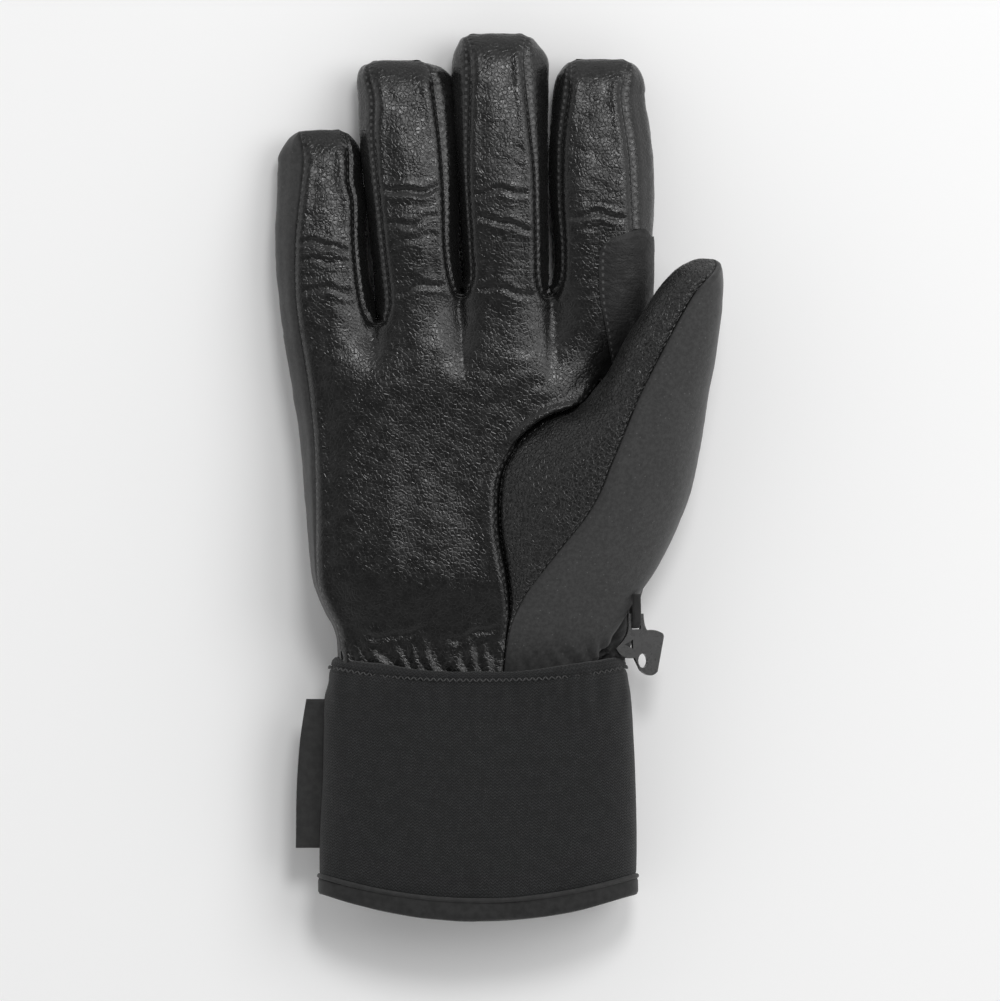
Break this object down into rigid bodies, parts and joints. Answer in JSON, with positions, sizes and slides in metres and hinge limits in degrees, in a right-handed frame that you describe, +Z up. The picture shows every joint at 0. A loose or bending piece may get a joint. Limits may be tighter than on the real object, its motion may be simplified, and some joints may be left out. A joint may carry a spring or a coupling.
{
  "type": "ski glove",
  "caption": "Padded ski glove for the right hand, lying palm up: leather palm and fingers, softshell back and thumb, knitted cuff, hanging hook clip and side tab.",
  "frame": {"origin": "on the plane the glove rests on, under the middle of the flat back of the hand, half way along the glove", "axes": "+Y from the cuff's hem to the fingertips, +X towards the thumb side, +Z up out of the palm; the glove lies on its back on the plane z = 0"},
  "size_m": [0.1473, 0.2903, 0.0501],
  "materials": {
    "palm_leather": "fine pebble-grain goat leather, slight sheen",
    "softshell": "matte brushed softshell",
    "knit": "fine zigzag rib knit",
    "binding": "smooth stretch binding",
    "label": "satin-woven tape",
    "fleece": "short brushed fleece",
    "wadding": "lofty polyester wadding",
    "membrane": "thin waterproof film",
    "elastic": "woven elastic",
    "clip_plastic": "moulded nylon with a semi-gloss skin"
  },
  "bodies": {
    "hand": {"palm_leather": "palm_leather", "hand_back_softshell": "softshell", "thumb_crescent_leather": "palm_leather", "thumb_root_softshell": "softshell", "index_root_patch": "palm_leather", "hand_insulation": "wadding", "hand_membrane": "membrane", "hand_lining": "fleece", "wrist_elastic": "elastic", "clip_loop": "binding"},
    "cuff": {"cuff_sleeve": "knit", "cuff_lining": "fleece", "hem_band": "binding", "hem_piping": "binding"},
    "thumb_base": {"thumb_leather_base": "palm_leather", "thumb_softshell_base": "softshell", "thumb_liner_base": "fleece"},
    "thumb_tip": {"thumb_leather_tip": "palm_leather", "thumb_softshell_tip": "softshell", "thumb_liner_tip": "fleece"},
    "index_base": {"index_front_base": "palm_leather", "index_outer_wall_base": "palm_leather", "index_back_base": "softshell", "index_thumb_side_wall_base": "palm_leather", "index_liner_base": "fleece"},
    "index_tip": {"index_front_tip": "palm_leather", "index_outer_wall_tip": "palm_leather", "index_back_tip": "softshell", "index_thumb_side_wall_tip": "palm_leather", "index_liner_tip": "fleece"},
    "middle_base": {"middle_front_base": "palm_leather", "middle_outer_wall_base": "palm_leather", "middle_back_base": "softshell", "middle_thumb_side_wall_base": "palm_leather", "middle_liner_base": "fleece"},
    "middle_tip": {"middle_front_tip": "palm_leather", "middle_outer_wall_tip": "palm_leather", "middle_back_tip": "softshell", "middle_thumb_side_wall_tip": "palm_leather", "middle_liner_tip": "fleece"},
    "ring_base": {"ring_front_base": "palm_leather", "ring_outer_wall_base": "palm_leather", "ring_back_base": "softshell", "ring_thumb_side_wall_base": "palm_leather", "ring_liner_base": "fleece"},
    "ring_tip": {"ring_front_tip": "palm_leather", "ring_outer_wall_tip": "palm_leather", "ring_back_tip": "softshell", "ring_thumb_side_wall_tip": "palm_leather", "ring_liner_tip": "fleece"},
    "little_base": {"little_front_base": "palm_leather", "little_wall_base": "palm_leather", "little_back_base": "softshell", "little_liner_base": "fleece"},
    "little_tip": {"little_front_tip": "palm_leather", "little_wall_tip": "palm_leather", "little_back_tip": "softshell", "little_liner_tip": "fleece"},
    "clip": {"clip_hook": "clip_plastic"},
    "label": {"label_tab": "label"}
  },
  "joints": [
    {"name": "index_knuckle", "type": "hinge", "parent": "hand", "child": "index_base", "pos_m": [0.0402, 0.0555, 0.01624], "axis": [1, -0.0049, 0], "range_deg": [-8, 50], "stiffness_Nm_per_rad": 0.05},
    {"name": "index_middle", "type": "hinge", "parent": "index_base", "child": "index_tip", "pos_m": [0.04039, 0.0945, 0.01624], "axis": [1, -0.0049, 0], "range_deg": [-8, 65], "stiffness_Nm_per_rad": 0.05},
    {"name": "middle_knuckle", "type": "hinge", "parent": "hand", "child": "middle_base", "pos_m": [0.0096, 0.0555, 0.01653], "axis": [0.9994, 0.0357, 0], "range_deg": [-8, 50], "stiffness_Nm_per_rad": 0.05},
    {"name": "middle_middle", "type": "hinge", "parent": "middle_base", "child": "middle_tip", "pos_m": [0.00806, 0.09847, 0.01653], "axis": [0.9994, 0.0357, 0], "range_deg": [-8, 65], "stiffness_Nm_per_rad": 0.05},
    {"name": "ring_knuckle", "type": "hinge", "parent": "hand", "child": "ring_base", "pos_m": [-0.0192, 0.0525, 0.01624], "axis": [0.9976, 0.0693, 0], "range_deg": [-8, 50], "stiffness_Nm_per_rad": 0.05},
    {"name": "ring_middle", "type": "hinge", "parent": "ring_base", "child": "ring_tip", "pos_m": [-0.02197, 0.0924, 0.01624], "axis": [0.9976, 0.0693, 0], "range_deg": [-8, 65], "stiffness_Nm_per_rad": 0.05},
    {"name": "little_knuckle", "type": "hinge", "parent": "hand", "child": "little_base", "pos_m": [-0.0496, 0.046, 0.01537], "axis": [0.9994, 0.0356, 0], "range_deg": [-8, 50], "stiffness_Nm_per_rad": 0.05},
    {"name": "little_middle", "type": "hinge", "parent": "little_base", "child": "little_tip", "pos_m": [-0.05077, 0.07898, 0.01537], "axis": [0.9994, 0.0356, 0], "range_deg": [-8, 65], "stiffness_Nm_per_rad": 0.05},
    {"name": "thumb_root", "type": "hinge", "parent": "hand", "child": "thumb_base", "pos_m": [0.0579, 0.0265, 0.03916], "axis": [0.9362, -0.3514, 0], "range_deg": [0, 40], "stiffness_Nm_per_rad": 0.05},
    {"name": "thumb_middle", "type": "hinge", "parent": "thumb_base", "child": "thumb_tip", "pos_m": [0.06633, 0.04897, 0.03916], "axis": [0.9362, -0.3514, 0], "range_deg": [-8, 50], "stiffness_Nm_per_rad": 0.05},
    {"name": "wrist", "type": "hinge", "parent": "hand", "child": "cuff", "pos_m": [0, -0.06, 0.017], "axis": [1, 0, 0], "range_deg": [-30, 30], "stiffness_Nm_per_rad": 0.15},
    {"name": "clip_swing", "type": "hinge", "parent": "hand", "child": "clip", "pos_m": [0.0514, -0.0456, 0.0235], "axis": [-0.9781, 0, 0.2079], "range_deg": [-10, 75], "stiffness_Nm_per_rad": 0.005},
    {"name": "label_flap", "type": "hinge", "parent": "cuff", "child": "label", "pos_m": [-0.0522, -0.09675, 0.019], "axis": [0, 1, 0], "range_deg": [-50, 60], "stiffness_Nm_per_rad": 0.001}
  ]
}
